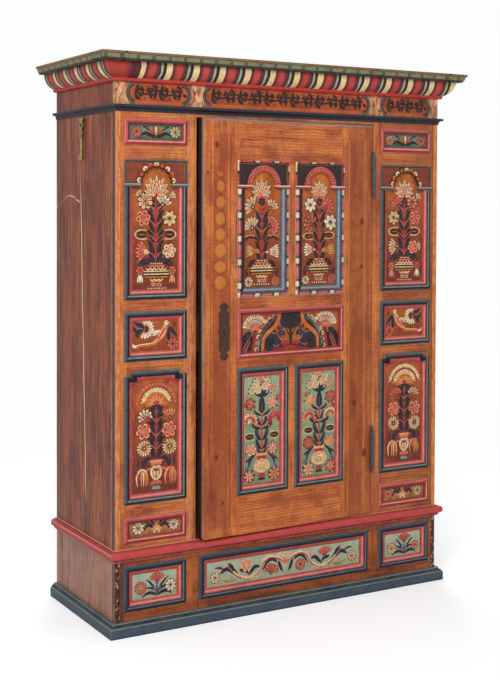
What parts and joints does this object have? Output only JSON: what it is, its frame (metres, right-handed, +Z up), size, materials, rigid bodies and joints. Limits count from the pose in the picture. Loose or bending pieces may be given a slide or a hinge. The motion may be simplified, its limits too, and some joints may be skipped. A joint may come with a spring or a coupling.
{
  "type": "kas cupboard",
  "caption": "Painted wooden wardrobe with one hinged, locking door between panelled fields, a panelled base box, shelves inside and a wide moulded cornice.",
  "frame": {"origin": "on the floor, under the middle of the whole cupboard's box, cornice included", "axes": "+X to the right of someone facing the door, +Y from the front to the back, +Z up"},
  "size_m": [1.478, 0.589, 1.9],
  "materials": {
    "grained_front": "orange-brown combed paint, satin, worn",
    "grained_door": "orange-brown combed paint, satin, worn",
    "grained_side": "dark red-brown grained paint, satin, worn",
    "panel_ground": "painted grounds with flower decoration, satin",
    "frame_paint": "blue-grey and red paint, satin, worn",
    "bevel_red": "red paint, satin, worn",
    "arch_paint": "brown-red paint with a striped arch, satin",
    "foot_blue_grey": "blue-grey paint, satin, worn edges",
    "waist_red": "red paint, satin, dusty top",
    "neck_black": "near-black blue paint, satin",
    "frieze_paint": "orange-brown ground with painted cartouches, satin",
    "bead_red": "red paint, satin",
    "ovolo_stripes": "cream, red, maroon and sage stripes across the moulding, satin",
    "crown_green": "grey-green paint, satin, worn",
    "bare_softwood": "bare aged softwood, matt",
    "dark_iron": "dark forged iron, matt",
    "hinge_iron": "forged iron painted blue-grey, satin",
    "key_brass": "aged brass, satin"
  },
  "bodies": {
    "case": {"base_stiles": "grained_front", "base_rails": "grained_front", "base_panels": "panel_ground", "base_panel_mouldings": "frame_paint", "base_panel_bevels": "bevel_red", "base_side_left": "grained_side", "base_side_right": "grained_side", "base_back": "bare_softwood", "base_battens": "bare_softwood", "foot_moulding": "foot_blue_grey", "waist_moulding": "waist_red", "hinge_frame_halves": "hinge_iron", "hinge_pins": "dark_iron", "left_field_stiles": "grained_front", "left_field_rails": "grained_front", "left_field_panels": "panel_ground", "left_field_mouldings": "frame_paint", "left_field_bevels": "bevel_red", "left_field_arch": "arch_paint", "right_field_stiles": "grained_front", "right_field_rails": "grained_front", "right_field_panels": "panel_ground", "right_field_mouldings": "frame_paint", "right_field_bevels": "bevel_red", "right_field_arch": "arch_paint", "side_left": "grained_side", "side_right": "grained_side", "key_nail": "dark_iron", "back_boards": "bare_softwood", "floor_boards": "bare_softwood", "threshold": "grained_front", "head_rail": "grained_front", "door_stops": "bare_softwood", "shelf_lower": "bare_softwood", "shelf_middle": "bare_softwood", "shelf_upper": "bare_softwood", "shelf_battens": "bare_softwood", "neck_moulding": "neck_black", "frieze_front": "frieze_paint", "frieze_sides": "grained_side", "frieze_back": "bare_softwood", "dust_boards": "bare_softwood", "cornice_bead": "bead_red", "cornice_ovolo": "ovolo_stripes", "crown_moulding": "crown_green", "lock_keeper": "dark_iron"},
    "door": {"door_lock_stile": "grained_door", "door_hinge_stile": "grained_door", "door_rails": "grained_door", "door_muntins": "grained_door", "door_panels": "panel_ground", "door_mouldings": "frame_paint", "door_bevels": "bevel_red", "door_arches": "arch_paint", "hinge_door_halves": "hinge_iron", "escutcheon": "dark_iron", "lock_case": "dark_iron"},
    "bolt": {"lock_bolt": "dark_iron"},
    "key": {"side_key": "key_brass"}
  },
  "joints": [
    {"name": "door_swing", "type": "hinge", "parent": "case", "child": "door", "pos_m": [0.362, -0.223, 0.95], "axis": [0, 0, 1], "range_deg": [-3, 157]},
    {"name": "bolt_slide", "type": "slide", "parent": "door", "child": "bolt", "axis": [-0.9986, -0.0523, 0], "range_m": [0, 0.012]},
    {"name": "key_swing", "type": "hinge", "parent": "case", "child": "key", "pos_m": [-0.666, 0.0525, 1.6835], "axis": [1, 0, 0], "range_deg": [-75, 75]}
  ]
}
